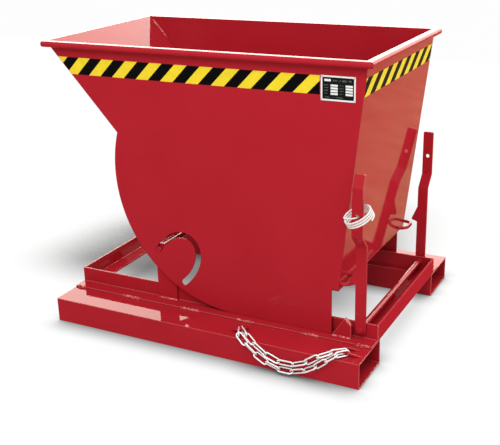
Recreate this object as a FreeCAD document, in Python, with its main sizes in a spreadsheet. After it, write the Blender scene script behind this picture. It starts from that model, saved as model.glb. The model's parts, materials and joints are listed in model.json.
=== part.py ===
import FreeCAD, Part
import math
import os
import Sketcher
from FreeCAD import Placement, Rotation, Vector

# A tipping skip for forklift forks: a hopper whose curved side plates roll along two rails on a
# base of two fork pockets. A shaft fixed to the base runs in a curved slot of each side plate.
# +X points to the fork entry at the rear, the hopper tips towards -X, -Y is the near side, +Z is up.
# The origin is the middle of the outline on the ground. Lengths are millimetres.

doc = FreeCAD.newDocument("tipping_skip")
sheet = doc.addObject("Spreadsheet::Sheet", "Sizes")

SIZES = {
    # base: two fork pockets joined by angle bars
    "base_length": 1200,
    "base_width": 968,
    "lip_overhang": 65,
    "pocket_width": 194,
    "pocket_height": 90,
    "pocket_wall": 4,
    "angle_leg": 60,
    "angle_thick": 6,
    "rear_flat_leg": 75,
    "rail_inset": 115.5,
    # hopper of flat plates
    "hopper_top": 1021,
    "plate_inset": 149.5,
    "plate_thick": 4,
    "front_thick": 3,
    "floor_thick": 5,
    "rear_thick": 4,
    "floor_height": 260,
    "front_lip_setback": 28,
    "front_wall_run": 674,
    "rear_wall_foot": 134,
    "rear_wall_run": 89,
    "rim_width": 28,
    "rim_height": 20,
    "rim_wall": 3,
    "rim_round": 9,
    "rim_slot": 4,
    # rolling edge, its flat foot and the guide slot
    "rock_radius": 477,
    "rock_contact": 681,
    "foot_end": 157,
    "roll_gap": 0.3,
    "guide_back": 368.5,
    "guide_height": 292,
    "guide_diameter": 20,
    "slot_gap": 1.2,
    "slot_angle": 79,
    "centre_stud_diameter": 16,
    "stud_gap": 0.05,
    # bracket of the guide shaft
    "bracket_width": 80,
    "bracket_thick": 8,
    "bracket_margin": 20,
    "bracket_corner": 10,
    "bracket_shoulder": 120,
    "fit_gap": 0.05,
    # wedge behind the hopper's near foot
    "stop_gap": 4,
    "stop_length": 68,
    "stop_height": 69,
    "stop_peak": 45,
    "stop_thick": 16,
    "stop_shoulder": 44,
    # latch: two levers on the ends of a cross shaft that turns in the rails
    "latch_back": 57.5,
    "latch_height": 130,
    "latch_shaft_diameter": 22,
    "latch_spacer_diameter": 32,
    "latch_spacer_gap": 0.5,
    "lever_offset": 6,
    "lever_width": 37,
    "lever_thick": 8,
    "lever_top": 634,
    "lever_crank_low": 425,
    "lever_crank_high": 470,
    "lever_crank_out": 42,
    "lever_corner": 6,
    "hook_top": 349,
    "hook_nose_top": 301,
    "hook_nose_under": 295,
    "hook_root_under": 288,
    "hook_reach": 20.5,
    "rope_hole_height": 541,
    "rope_hole_diameter": 14,
    "grip_length": 41,
    "grip_lean": 18,
    "bolt_diameter": 12,
    "bolt_depth": 30,
    "bolt_head_width": 19,
    "bolt_head_height": 8,
    # keeper loops on the hopper's rear wall
    "keeper_height": 281,
    "keeper_bar": 12,
    "keeper_outer": 0.5,
    "keeper_spread": 80,
    "keeper_bend": 30,
    "keeper_back": 94,
    # eyes and chain on the near pocket
    "eye_bar": 8,
    "eye_half_width": 22,
    "eye_reach": 50,
    "eye_front_back": 474,
    "eye_rear_back": 27,
    "eye_inset": 68,
    "eye_swing": 30,
    "eye_rise": 20,
    "link_wire": 5.2,
    "link_width": 24,
    "link_slack": 0.6,
    "chain_clear": 13,
    "chain_edge_rise": 20,
    "upper_front": 388,
    "upper_rear": 120,
    "upper_sag": 68,
    "upper_bow_angle": 18,
    "lower_front": 424,
    "lower_rear": 86,
    "lower_sag": 94,
    "lower_bow_angle": 50,
    # rope of the latch, laid in a coil round the near lever
    "rope_diameter": 6,
    "coil_radius": 45,
    "coil_pitch": 8,
    "coil_back": 48.5,
    "coil_rise": 4.5,
    "coil_out": 8.5,
    "coil_rest": 0.2,
    # blank data plate
    "data_plate_length": 114,
    "data_plate_height": 78,
    "data_plate_thick": 1,
    "data_plate_back": 196,
    "data_plate_drop": 51,
    "rivet_diameter": 4,
    "rivet_head": 1.2,
    # overrun of every cut past the faces that it opens
    "overrun": 10,
}

# Counts, and the coil's turns and slope
UPPER_LINKS = 9
LOWER_LINKS = 11
COIL_START = math.radians(-15)
COIL_END = math.radians(195 + 3 * 360)
COIL_MIDDLE = (COIL_START + COIL_END) / 2
COIL_SLOPE_SHARES = (0.43, 0.33)
SLOT_STEPS = 24
STRAND_STEPS = 60
BEND_ROOM_SHARE = 0.78


class Size:
    """A length together with the sheet formula that gives it."""

    def __init__(self, value, formula):
        self.value = float(value)
        self.formula = formula

    def __add__(self, other):
        other = as_size(other)
        return Size(self.value + other.value, f"({self.formula} + {other.formula})")

    def __sub__(self, other):
        other = as_size(other)
        return Size(self.value - other.value, f"({self.formula} - {other.formula})")

    def __mul__(self, other):
        other = as_size(other)
        return Size(self.value * other.value, f"({self.formula} * {other.formula})")

    def __truediv__(self, other):
        other = as_size(other)
        return Size(self.value / other.value, f"({self.formula} / {other.formula})")

    def __neg__(self):
        return Size(-self.value, f"(0 - {self.formula})")


def as_size(value):
    if isinstance(value, Size):
        return value
    return Size(value, str(value))


class Sizes:
    """The sheet's cells by name, as sizes."""


def fill_sheet():
    sizes = Sizes()
    for row, (alias, value) in enumerate(SIZES.items(), start=1):
        sheet.set(f"A{row}", alias)
        sheet.set(f"B{row}", str(value))
        sheet.setAlias(f"B{row}", alias)
    doc.recompute()
    for alias in SIZES:
        setattr(sizes, alias, Size(sheet.get(alias), f"Sizes.{alias}"))
    return sizes


s = fill_sheet()
zero = as_size(0)
parts = {}


def bind(thing, prop, size):
    """Tie a property to its sheet formula."""
    thing.setExpression(prop, as_size(size).formula)


def place(thing, x, y, z):
    for axis, size in zip("xyz", (x, y, z)):
        bind(thing, f"Placement.Base.{axis}", size)


def keep(label, thing):
    """Name a finished sub-part."""
    thing.Label = label
    parts[label] = thing
    return thing


def box(name, x, y, z):
    """A block between low and high sizes on each axis."""
    block = doc.addObject("Part::Box", name)
    for prop, (low, high) in zip(("Length", "Width", "Height"), (x, y, z)):
        bind(block, prop, as_size(high) - low)
    place(block, x[0], y[0], z[0])
    return block


def rod(name, diameter, x, y, z):
    """A round bar along Y between the two sizes in y."""
    bar = doc.addObject("Part::Cylinder", name)
    bind(bar, "Radius", diameter / 2)
    bind(bar, "Height", as_size(y[1]) - y[0])
    bar.Placement = Placement(Vector(), Rotation(Vector(1, 0, 0), -90))
    place(bar, x, y[0], z)
    return bar


def cut(name, base, tool):
    result = doc.addObject("Part::Cut", name)
    result.Base = base
    result.Tool = tool
    return result


def join(name, pieces):
    result = doc.addObject("Part::MultiFuse", name)
    result.Shapes = pieces
    result.Refine = True
    return result


def feature(name, shape):
    thing = doc.addObject("Part::Feature", name)
    thing.Shape = shape
    return thing


def origin_plane(body, role):
    return next(p for p in body.Origin.OriginFeatures if p.Role == role)


def side_pad(name, corners, y):
    """A plate padded along Y from an outline of (x, z) corners, between the two sizes in y."""
    body = doc.addObject("PartDesign::Body", name)
    sketch = body.newObject("Sketcher::SketchObject", f"{name}_outline")
    sketch.AttachmentSupport = [(origin_plane(body, "XZ_Plane"), "")]
    sketch.MapMode = "FlatFace"
    count = len(corners)
    spots = [Vector(x.value, z.value, 0) for x, z in corners]
    for i in range(count):
        sketch.addGeometry(Part.LineSegment(spots[i], spots[(i + 1) % count]), False)
    for i in range(count):
        sketch.addConstraint(Sketcher.Constraint("Coincident", i, 2, (i + 1) % count, 1))
    for i, corner in enumerate(corners):
        for kind, size in zip(("DistanceX", "DistanceY"), corner):
            rule = sketch.addConstraint(Sketcher.Constraint(kind, -1, 1, i, 1, size.value))
            bind(sketch, f"Constraints[{rule}]", size)
    pad = body.newObject("PartDesign::Pad", f"{name}_pad")
    pad.Profile = sketch
    bind(pad, "Length", as_size(y[1]) - y[0])
    # the sketch plane looks along -Y, so the pad grows that way from the larger y
    bind(body, "Placement.Base.y", y[1])
    return body


def cross_hole(body, name, diameter, x, z):
    """A round hole along Y right through a padded plate."""
    sketch = body.newObject("Sketcher::SketchObject", f"{name}_circle")
    sketch.AttachmentSupport = [(origin_plane(body, "XZ_Plane"), "")]
    sketch.MapMode = "FlatFace"
    middle = Vector(x.value, z.value, 0)
    sketch.addGeometry(Part.Circle(middle, Vector(0, 0, 1), diameter.value / 2), False)
    for kind, size in (("DistanceX", x), ("DistanceY", z)):
        rule = sketch.addConstraint(Sketcher.Constraint(kind, -1, 1, 0, 3, size.value))
        bind(sketch, f"Constraints[{rule}]", size)
    rule = sketch.addConstraint(Sketcher.Constraint("Diameter", 0, diameter.value))
    bind(sketch, f"Constraints[{rule}]", diameter)
    doc.recompute()
    before = body.Shape.Volume
    pocket = body.newObject("PartDesign::Pocket", name)
    pocket.Profile = sketch
    pocket.Type = "ThroughAll"
    pocket.Midplane = True
    doc.recompute()
    if body.Shape.Volume >= before:
        raise RuntimeError(f"{name} cut nothing")


# Ends of the base along X
front = -(s.base_length - s.lip_overhang) / 2
rear = front + s.base_length
half_width = s.base_width / 2
SIDES = {"near": -1, "far": 1}


def span(side, inner, outer):
    """Low and high Y of a piece between two distances from the middle, on one side."""
    if side < 0:
        return (-as_size(outer), -as_size(inner))
    return (as_size(inner), as_size(outer))


# Distances from the middle plane
rail_edge = half_width - s.rail_inset
leg_outer = rail_edge - s.angle_leg + s.angle_thick
leg_inner = leg_outer - s.angle_thick
plate_outer = half_width - s.plate_inset
plate_inner = plate_outer - s.plate_thick
rim_outer = plate_inner + s.rim_width
lever_inner = leg_outer + s.lever_offset
lever_outer = lever_inner + s.lever_thick

# Heights
angle_top = s.pocket_height + s.angle_leg
track = s.pocket_height + s.angle_thick
rim_under = s.hopper_top - s.rim_height
roll_foot = track + s.roll_gap

# Places along X: the roll and the guide count from the front end, the rest from the rear end
contact = front + s.rock_contact
guide = front + s.guide_back
latch = rear - s.latch_back
foot_end = rear - s.foot_end
lip = front - s.lip_overhang
front_wall_top = lip + s.front_lip_setback
front_wall_foot = front_wall_top + s.front_wall_run
front_wall_edge = front_wall_top - s.front_wall_run * s.rim_height / (rim_under - s.floor_height)
rear_wall_foot = rear - s.rear_wall_foot
rear_wall_top = rear_wall_foot + s.rear_wall_run
rim_rear = rear_wall_top - s.rear_thick + s.rim_width


def pockets():
    for side_name, side in SIDES.items():
        y = span(side, half_width - s.pocket_width, half_width)
        hollow_y = span(side, half_width - s.pocket_width + s.pocket_wall, half_width - s.pocket_wall)
        outer = box(f"pocket_{side_name}_outer", (front, rear), y, (zero, s.pocket_height))
        hollow = box(
            f"pocket_{side_name}_hollow",
            (front - s.overrun, rear + s.overrun),
            hollow_y,
            (s.pocket_wall, s.pocket_height - s.pocket_wall),
        )
        keep(f"fork_pocket_{side_name}", cut(f"fork_pocket_{side_name}", outer, hollow))


def rails():
    for side_name, side in SIDES.items():
        flat = box(
            f"rail_{side_name}_flat",
            (front, rear),
            span(side, leg_inner, rail_edge),
            (s.pocket_height, track),
        )
        upright = box(
            f"rail_{side_name}_upright",
            (front, rear),
            span(side, leg_inner, leg_outer),
            (s.pocket_height, angle_top),
        )
        angle = join(f"rail_{side_name}_angle", [flat, upright])
        shaft_hole = rod(
            f"rail_{side_name}_shaft_hole",
            s.latch_shaft_diameter + s.fit_gap * 2,
            latch,
            span(side, leg_inner - s.overrun, leg_outer + s.overrun),
            s.latch_height,
        )
        keep(f"rail_{side_name}", cut(f"rail_{side_name}", angle, shaft_hole))


def cross_members():
    y = (-leg_inner, leg_inner)
    ends = {
        "front_cross_member": (front, front + s.angle_thick, front, front + s.angle_leg),
        "rear_cross_member": (rear - s.angle_thick, rear, rear - s.rear_flat_leg, rear),
    }
    for label, (leg_low, leg_high, flat_low, flat_high) in ends.items():
        upright = box(f"{label}_upright", (leg_low, leg_high), y, (s.pocket_height, angle_top))
        flat = box(f"{label}_flat", (flat_low, flat_high), y, (s.pocket_height, track))
        keep(label, join(label, [upright, flat]))


def guide_brackets():
    low = guide - s.bracket_margin
    high = low + s.bracket_width
    top = s.guide_height + s.bracket_margin
    chamfer = s.bracket_corner
    corners = [
        (low, track),
        (high, track),
        (high, track + s.bracket_shoulder),
        (guide + s.bracket_margin, top),
        (low + chamfer, top),
        (low, top - chamfer),
    ]
    for side_name, side in SIDES.items():
        label = f"guide_bracket_{side_name}"
        body = side_pad(label, corners, span(side, leg_outer, leg_outer + s.bracket_thick))
        hole = s.guide_diameter + s.fit_gap * 2
        cross_hole(body, f"{label}_hole", hole, guide, s.guide_height)
        keep(label, body)


def guide_shaft():
    y = (-plate_outer, plate_outer)
    keep("guide_shaft", rod("guide_shaft", s.guide_diameter, guide, y, s.guide_height))


def rear_stop():
    low = foot_end + s.stop_gap
    high = low + s.stop_length
    peak = low + s.stop_peak
    corners = [
        (low, track),
        (high, track),
        (high, track + s.stop_shoulder),
        (peak, track + s.stop_height),
    ]
    middle = (plate_outer + plate_inner) / 2
    y = span(SIDES["near"], middle - s.stop_thick / 2, middle + s.stop_thick / 2)
    keep("rear_stop", side_pad("rear_stop", corners, y))


def rock_centre_height():
    return roll_foot + s.rock_radius


def slope_meets_arc():
    """Where the sloping front edge of a side plate runs into its rolling edge."""
    start = Vector(front_wall_top.value, 0, rim_under.value)
    end = Vector(front_wall_foot.value, 0, s.floor_height.value)
    along = (end - start).normalize()
    centre = Vector(contact.value, 0, rock_centre_height().value)
    back = start - centre
    half_b = along.dot(back)
    reach = back.dot(back) - s.rock_radius.value**2
    return start + along * (-half_b - math.sqrt(half_b**2 - reach))


def guide_trace(angle):
    """Where the fixed guide shaft lies in the side plate once the hopper has rolled by angle."""
    centre_x, centre_z = contact.value, rock_centre_height().value
    x = guide.value - (centre_x - s.rock_radius.value * angle)
    z = s.guide_height.value - centre_z
    cos, sin = math.cos(angle), math.sin(angle)
    return Vector(centre_x + cos * x + sin * z, 0, centre_z - sin * x + cos * z)


def slot_outline():
    """The slot around the guide's trace: two sides parallel to it, and round ends."""
    half = s.guide_diameter.value / 2 + s.slot_gap.value
    count = SLOT_STEPS
    last = math.radians(s.slot_angle.value)
    step = last / count
    normals = []
    trace = []
    for i in range(count + 1):
        along = guide_trace(i * step + step / count) - guide_trace(i * step - step / count)
        along.normalize()
        normals.append(Vector(-along.z, 0, along.x))
        trace.append(guide_trace(i * step))
    left = [p + n * half for p, n in zip(trace, normals)]
    right = [p - n * half for p, n in zip(trace, normals)]
    edges = []
    for points in (left, right):
        curve = Part.BSplineCurve()
        curve.interpolate(points)
        edges.append(curve.toShape())
    for end, outward in ((0, -1), (count, 1)):
        normal = normals[end]
        along = Vector(normal.z, 0, -normal.x)
        tip = trace[end] + along * (half * outward)
        edges.append(Part.Arc(left[end], tip, right[end]).toShape())
    return Part.Face(Part.Wire(Part.__sortEdges__(edges)))


def plate_outline():
    """A side plate: sloping front, rolling arc, flat foot, step at the floor and leaning rear."""
    centre = Vector(contact.value, 0, rock_centre_height().value)
    corner = slope_meets_arc()
    bottom = Vector(contact.value, 0, roll_foot.value)
    middle = ((corner - centre).normalize() + Vector(0, 0, -1)).normalize()
    arc_middle = centre + middle * s.rock_radius.value
    rear_line = [
        bottom,
        Vector(foot_end.value, 0, roll_foot.value),
        Vector(foot_end.value, 0, s.floor_height.value),
        Vector(rear_wall_foot.value, 0, s.floor_height.value),
        Vector(rear_wall_top.value, 0, rim_under.value),
        Vector(front_wall_top.value, 0, rim_under.value),
        corner,
    ]
    edges = [Part.Arc(corner, arc_middle, bottom).toShape()]
    for start, end in zip(rear_line, rear_line[1:]):
        edges.append(Part.LineSegment(start, end).toShape())
    return Part.Face(Part.Wire(edges))


def side_plates():
    depth = Vector(0, s.plate_thick.value, 0)
    stud = Part.Circle(
        Vector(contact.value, 0, rock_centre_height().value),
        Vector(0, 1, 0),
        s.centre_stud_diameter.value / 2 + s.stud_gap.value,
    )
    stud_hole = Part.Face(Part.Wire(stud.toShape()))
    face = plate_outline().cut([slot_outline(), stud_hole])
    plate = face.extrude(depth).Solids[0]
    for side_name, side in SIDES.items():
        label = f"side_plate_{side_name}"
        thing = feature(label, plate)
        low = span(side, plate_inner, plate_outer)[0]
        thing.Placement = Placement(Vector(0, low.value, 0), Rotation())
        keep(label, thing)


def rolling_centre_studs():
    pieces = []
    for side_name, side in SIDES.items():
        y = span(side, plate_inner, plate_outer)
        name = f"rolling_centre_stud_{side_name}"
        pieces.append(rod(name, s.centre_stud_diameter, contact, y, rock_centre_height()))
    group = doc.addObject("Part::Compound", "rolling_centre_studs")
    group.Links = pieces
    keep("rolling_centre_studs", group)


def slant_wall(label, foot, top, height, thickness_along_x):
    """A leaning wall between the side plates, from the floor up to a height."""
    corners = [
        (foot, s.floor_height),
        (foot + thickness_along_x, s.floor_height),
        (top + thickness_along_x, height),
        (top, height),
    ]
    keep(label, side_pad(label, corners, (-plate_inner, plate_inner)))


def hopper_panels():
    rise = rim_under.value - s.floor_height.value
    front_stretch = math.hypot(s.front_wall_run.value, rise) / rise
    rear_stretch = math.hypot(s.rear_wall_run.value, rise) / rise
    front_skew = s.front_thick * front_stretch
    rear_skew = s.rear_thick * rear_stretch
    slant_wall("front_panel", front_wall_foot, front_wall_edge, s.hopper_top, front_skew)
    slant_wall("rear_panel", rear_wall_foot - rear_skew, rear_wall_top - rear_skew, rim_under, rear_skew)
    floor = box(
        "floor_panel",
        (front_wall_foot, rear_wall_foot),
        (-plate_inner, plate_inner),
        (s.floor_height - s.floor_thick, s.floor_height),
    )
    keep("floor_panel", floor)


def rim_bar(label, x, y, slot_x, slot_y, is_round, fit=None):
    """A hollow folded edge, slotted underneath. is_round picks its round edges, fit cuts it to a wall."""
    outer = box(f"{label}_outer", x, y, (rim_under, s.hopper_top))
    doc.recompute()
    rounded = doc.addObject("Part::Fillet", f"{label}_rounded")
    rounded.Base = outer
    radius = s.rim_round.value
    numbered = enumerate(outer.Shape.Edges, start=1)
    rounded.Edges = [(i, radius, radius) for i, edge in numbered if is_round(edge.CenterOfMass)]
    hollow = box(
        f"{label}_hollow",
        (x[0] + s.rim_wall, x[1] - s.rim_wall),
        (y[0] + s.rim_wall, y[1] - s.rim_wall),
        (rim_under + s.rim_wall, s.hopper_top - s.rim_wall),
    )
    slot_z = (rim_under - s.overrun, rim_under + s.rim_height / 2)
    slot = box(f"{label}_slot", slot_x, slot_y, slot_z)
    tools = [hollow, slot] if fit is None else [hollow, slot, fit]
    room = join(f"{label}_room", tools)
    keep(label, cut(label, rounded, room))


def rims():
    inner = plate_inner.value
    tiny = s.fit_gap.value
    slot_ends = (lip + s.rim_width, rim_rear - s.rim_width)
    for side_name, side in SIDES.items():
        rim_bar(
            f"rim_{side_name}",
            (lip, rim_rear),
            span(side, plate_inner, rim_outer),
            slot_ends,
            span(side, plate_outer, plate_outer + s.rim_slot),
            lambda middle: abs(middle.y) > inner + tiny,
        )
    y = (-plate_inner, plate_inner)
    slot_y = (-plate_inner + s.rim_width, plate_inner - s.rim_width)
    above_wall = [
        (front_wall_top, rim_under),
        (front_wall_top, s.hopper_top),
        (front_wall_edge, s.hopper_top),
    ]
    wall = side_pad("rim_front_wall", above_wall, y)
    front_slot = (front_wall_top - s.rim_slot, front_wall_top)
    rear_slot = (rear_wall_top, rear_wall_top + s.rim_slot)
    ends = {
        "rim_front": ((lip, front_wall_top), front_slot, lip, wall),
        "rim_rear": ((rim_rear - s.rim_width, rim_rear), rear_slot, rim_rear, None),
    }
    for label, (x, slot_x, outer, fit) in ends.items():
        edge = outer.value
        rim_bar(
            label,
            x,
            y,
            slot_x,
            slot_y,
            lambda middle: abs(middle.x - edge) < tiny and abs(middle.y) < tiny,
            fit,
        )


def bent_bar(points, arc_middles, diameter):
    """A round bar along straight runs and arcs; arc_middles[i] is set where run i is an arc."""
    edges = []
    for i, (start, end) in enumerate(zip(points, points[1:])):
        if i in arc_middles:
            edges.append(Part.Arc(start, arc_middles[i], end).toShape())
        else:
            edges.append(Part.LineSegment(start, end).toShape())
    path = Part.Wire(edges)
    tangent = edges[0].tangentAt(edges[0].FirstParameter)
    ring = Part.Wire(Part.Circle(points[0], tangent, diameter / 2).toShape())
    return path.makePipeShell([ring], True, False)


def keepers():
    """Bent bars on the rear wall. The latch hooks swing in over their outer strands."""
    height = s.keeper_height.value
    bend = s.keeper_bend.value
    end = (rear - s.keeper_back).value
    start = (rear_wall_foot - s.rear_thick * 2).value
    half_turn_share = math.sqrt(0.5)
    strand = (lever_inner + lever_outer) / 2 - s.keeper_outer
    for side_name, side in SIDES.items():
        outer = side * strand.value
        inner = side * (strand - s.keeper_spread).value
        points = [
            Vector(start, outer, height),
            Vector(end - bend, outer, height),
            Vector(end, outer - side * bend, height),
            Vector(end, inner + side * bend, height),
            Vector(end - bend, inner, height),
            Vector(start, inner, height),
        ]
        ahead = bend * half_turn_share
        aside = bend - ahead
        arc_middles = {
            1: Vector(end - bend + ahead, outer - side * aside, height),
            3: Vector(end - bend + ahead, inner + side * aside, height),
        }
        loop = bent_bar(points, arc_middles, s.keeper_bar.value)
        pieces = loop.cut(parts["rear_panel"].Shape).Solids
        outside = max(pieces, key=lambda solid: solid.BoundBox.XMax)
        keep(f"keeper_{side_name}", feature(f"keeper_{side_name}", outside))


def lever_outline():
    """Lower part of a lever seen along Y: round foot, plain bar, hook towards the hopper."""
    half = s.lever_width.value / 2
    left, right = latch.value - half, latch.value + half
    nose = left - s.hook_reach.value
    pivot = s.latch_height.value
    crank = s.lever_crank_low.value
    corners = [
        Vector(right, 0, pivot),
        Vector(right, 0, crank),
        Vector(left, 0, crank),
        Vector(left, 0, s.hook_top.value),
        Vector(nose, 0, s.hook_nose_top.value),
        Vector(nose, 0, s.hook_nose_under.value),
        Vector(left, 0, s.hook_root_under.value),
        Vector(left, 0, pivot),
    ]
    edges = [Part.LineSegment(a, b).toShape() for a, b in zip(corners, corners[1:])]
    foot = Vector(latch.value, 0, pivot - half)
    edges.append(Part.Arc(corners[-1], foot, corners[0]).toShape())
    return Part.Face(Part.Wire(edges))


def lever_upper_profile(outward, has_grip):
    """The cranked upper part seen along X, as a closed outline in Y and Z."""
    crank_out = s.lever_crank_out.value * outward
    top = s.lever_top.value
    line = [(0, s.lever_crank_low.value), (crank_out, s.lever_crank_high.value), (crank_out, top)]
    if has_grip:
        line.append((crank_out - s.grip_lean.value * outward, top + s.grip_length.value))
    thick = s.lever_thick.value
    face_a = [Vector(0, y, z) for y, z in line]
    face_b = [Vector(0, y + thick, z) for y, z in reversed(line)]
    return Part.Face(Part.makePolygon(face_a + face_b + face_a[:1]))


def is_lever_top_corner(edge, top):
    """True for the short edges through the thickness at a lever's upper end."""
    size = edge.BoundBox
    half_thick = s.lever_thick.value / 2
    at_top = size.ZMax > top - half_thick
    return at_top and size.YLength > half_thick and max(size.XLength, size.ZLength) < half_thick


def levers():
    half = s.lever_width.value / 2
    reach = s.lever_crank_out.value + s.overrun.value * 2
    for side_name, side in SIDES.items():
        y = span(side, lever_inner, lever_outer)
        lower = lever_outline().extrude(Vector(0, s.lever_thick.value, 0))
        upper = lever_upper_profile(side, side < 0).extrude(Vector(s.lever_width.value, 0, 0))
        upper.translate(Vector(latch.value - half, 0, 0))
        lever = lower.fuse(upper).removeSplitter().Solids[0]
        top = lever.BoundBox.ZMax
        corners = [edge for edge in lever.Edges if is_lever_top_corner(edge, top)]
        lever = lever.makeFillet(s.lever_corner.value, corners)
        holes = []
        for diameter, height in (
            (s.rope_hole_diameter, s.rope_hole_height),
            (s.bolt_diameter, s.latch_height),
        ):
            start = Vector(latch.value, -reach, height.value)
            holes.append(Part.makeCylinder(diameter.value / 2, 2 * reach, start, Vector(0, 1, 0)))
        lever = lever.cut(holes).Solids[0]
        label = f"latch_lever_{side_name}"
        thing = feature(label, lever)
        thing.Placement = Placement(Vector(0, y[0].value, 0), Rotation())
        keep(label, thing)


def latch_shaft():
    """Cross shaft through both rails, with a threaded bore in each end."""
    y = (-lever_inner, lever_inner)
    bar = rod("latch_shaft_bar", s.latch_shaft_diameter, latch, y, s.latch_height)
    for side_name, side in SIDES.items():
        bore_y = span(side, lever_inner - s.bolt_depth, lever_inner + s.overrun)
        bore = rod(f"latch_bore_{side_name}", s.bolt_diameter, latch, bore_y, s.latch_height)
        bar = cut(f"latch_shaft_bored_{side_name}", bar, bore)
    keep("latch_shaft", bar)


def latch_hardware():
    """Bolts that hold the levers on the shaft, and spacer rings between levers and rails."""
    bolts = []
    spacers = []
    for side_name, side in SIDES.items():
        shank_y = span(side, lever_inner - s.bolt_depth, lever_outer)
        shank = rod(f"bolt_shank_{side_name}", s.bolt_diameter, latch, shank_y, s.latch_height)
        head = doc.addObject("Part::Prism", f"bolt_head_{side_name}")
        head.Polygon = 6
        bind(head, "Circumradius", s.bolt_head_width / math.sqrt(3))
        bind(head, "Height", s.bolt_head_height)
        head.Placement = Placement(Vector(), Rotation(Vector(1, 0, 0), -90))
        head_y = span(side, lever_outer, lever_outer + s.bolt_head_height)
        place(head, latch, head_y[0], s.latch_height)
        bolts.append(join(f"latch_bolt_{side_name}", [shank, head]))
        ring_y = span(side, leg_outer + s.latch_spacer_gap, lever_inner)
        ring = rod(f"spacer_ring_{side_name}", s.latch_spacer_diameter, latch, ring_y, s.latch_height)
        eye_y = (ring_y[0] - s.overrun, ring_y[1] + s.overrun)
        eye = rod(f"spacer_eye_{side_name}", s.latch_shaft_diameter, latch, eye_y, s.latch_height)
        spacers.append(cut(f"latch_spacer_{side_name}", ring, eye))
    for label, pieces in (("latch_bolts", bolts), ("latch_spacers", spacers)):
        group = doc.addObject("Part::Compound", label)
        group.Links = pieces
        keep(label, group)


def data_plate():
    outer_y = plate_outer + s.data_plate_thick
    low = rear - s.data_plate_back
    high = low + s.data_plate_length
    top = s.hopper_top - s.data_plate_drop
    bottom = top - s.data_plate_height
    keep("data_plate", box("data_plate", (low, high), (-outer_y, -plate_outer), (bottom, top)))
    inset = s.rivet_diameter
    pieces = []
    for i, x in enumerate((low + inset, high - inset)):
        for j, z in enumerate((bottom + inset, top - inset)):
            y = (-outer_y - s.rivet_head, -outer_y)
            pieces.append(rod(f"rivet_{i}_{j}", s.rivet_diameter, x, y, z))
    group = doc.addObject("Part::Compound", "data_plate_rivets")
    group.Links = pieces
    keep("data_plate_rivets", group)


def eye_frame(back, way):
    """The middle between an eye's feet, where its bow points, and across it."""
    swing, rise = math.radians(s.eye_swing.value), math.radians(s.eye_rise.value)
    flat = Vector(way * math.cos(swing), -math.sin(swing), 0)
    up = Vector(0, 0, 1)
    foot = Vector((rear - back).value, -half_width.value + s.eye_inset.value, s.pocket_height.value)
    return foot, flat * math.cos(rise) + up * math.sin(rise), up.cross(flat)


EYES = {"front": (s.eye_front_back, 1), "rear": (s.eye_rear_back, -1)}


def chain_eyes():
    """Two bent bars welded on the near pocket, with their bows towards each other."""
    half, reach, buried = s.eye_half_width.value, s.eye_reach.value, s.eye_bar.value * 2
    for name, (back, way) in EYES.items():
        foot, along, across = eye_frame(back, way)
        bend = foot + along * (reach - half)
        points = [
            foot - along * buried - across * half,
            bend - across * half,
            bend + across * half,
            foot - along * buried + across * half,
        ]
        bar = bent_bar(points, {1: foot + along * reach}, s.eye_bar.value)
        bar = bar.cut(parts["fork_pocket_near"].Base.Shape).Solids
        above = max(bar, key=lambda solid: solid.BoundBox.ZMax)
        keep(f"chain_eye_{name}", feature(f"chain_eye_{name}", above))


def chain_link(start, end, normal):
    """A long link square to normal, whose end bows have the middles of their wire at the two points."""
    wire, bend = s.link_wire.value / 2, (s.link_width - s.link_wire).value / 2
    along = end - start
    straight = along.Length - 2 * bend
    along.normalize()
    pieces = []
    for turn in (-90, 90):
        bow = Part.makeTorus(bend, wire, Vector(), Vector(0, 0, 1), -180, 180, 180)
        bow.rotate(Vector(), Vector(0, 0, 1), turn)
        bow.translate(Vector(math.copysign(straight / 2, -turn), 0, 0))
        pieces.append(bow)
    for side in SIDES.values():
        foot = Vector(-straight / 2, side * bend, 0)
        pieces.append(Part.makeCylinder(wire, straight, foot, Vector(1, 0, 0)))
    link = pieces[0].fuse(pieces[1:]).removeSplitter().Solids[0]
    link.Placement = Placement((start + end) / 2, Rotation(along, Vector(), normal, "XZY"))
    return link


def level_normal(way):
    """Normal of a link that stands upright along way."""
    return way.cross(Vector(0, 0, 1)).normalize()


def link_normals(ways):
    """Normals of links along ways: upright at both eyes, each turned about a right angle from the last."""
    plain = [level_normal(ways[0])]
    for way in ways[1:]:
        carried = plain[-1] - way * way.dot(plain[-1])
        plain.append(carried.normalize())
    last = level_normal(ways[-1])
    miss = math.atan2(ways[-1].dot(plain[-1].cross(last)), plain[-1].dot(last))
    joint_count = len(ways) - 1
    halves = round(joint_count / 2 - miss / math.pi)
    twist = (miss + math.pi * halves) / joint_count
    normals = []
    for i, (way, flat) in enumerate(zip(ways, plain)):
        normals.append(flat * math.cos(twist * i) + way.cross(flat) * math.sin(twist * i))
    return normals


def strand_points(front_edge, rear_edge, sag, bow_angle):
    """A strand's route: out of one eye, over the edge, hanging down the pocket's side, and back."""
    ends = []
    turn = math.radians(bow_angle.value)
    seat = s.eye_half_width - (s.eye_bar + s.link_slack) / 2
    for back, way in EYES.values():
        foot, along, across = eye_frame(back, way)
        radial = along * math.cos(turn) - across * (way * math.sin(turn))
        ends.append(foot + along * (s.eye_reach - s.eye_half_width).value + radial * seat.value)
    y = -(half_width + s.chain_clear).value
    top = (s.pocket_height + s.chain_edge_rise).value
    low, high = (rear - front_edge).value, (rear - rear_edge).value
    hanging = []
    for i in range(STRAND_STEPS + 1):
        share = i / STRAND_STEPS
        drop = sag.value * (1 - (2 * share - 1) ** 2)
        hanging.append(Vector(low + (high - low) * share, y, top - drop))
    return ends[:1] + hanging + ends[1:]


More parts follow.
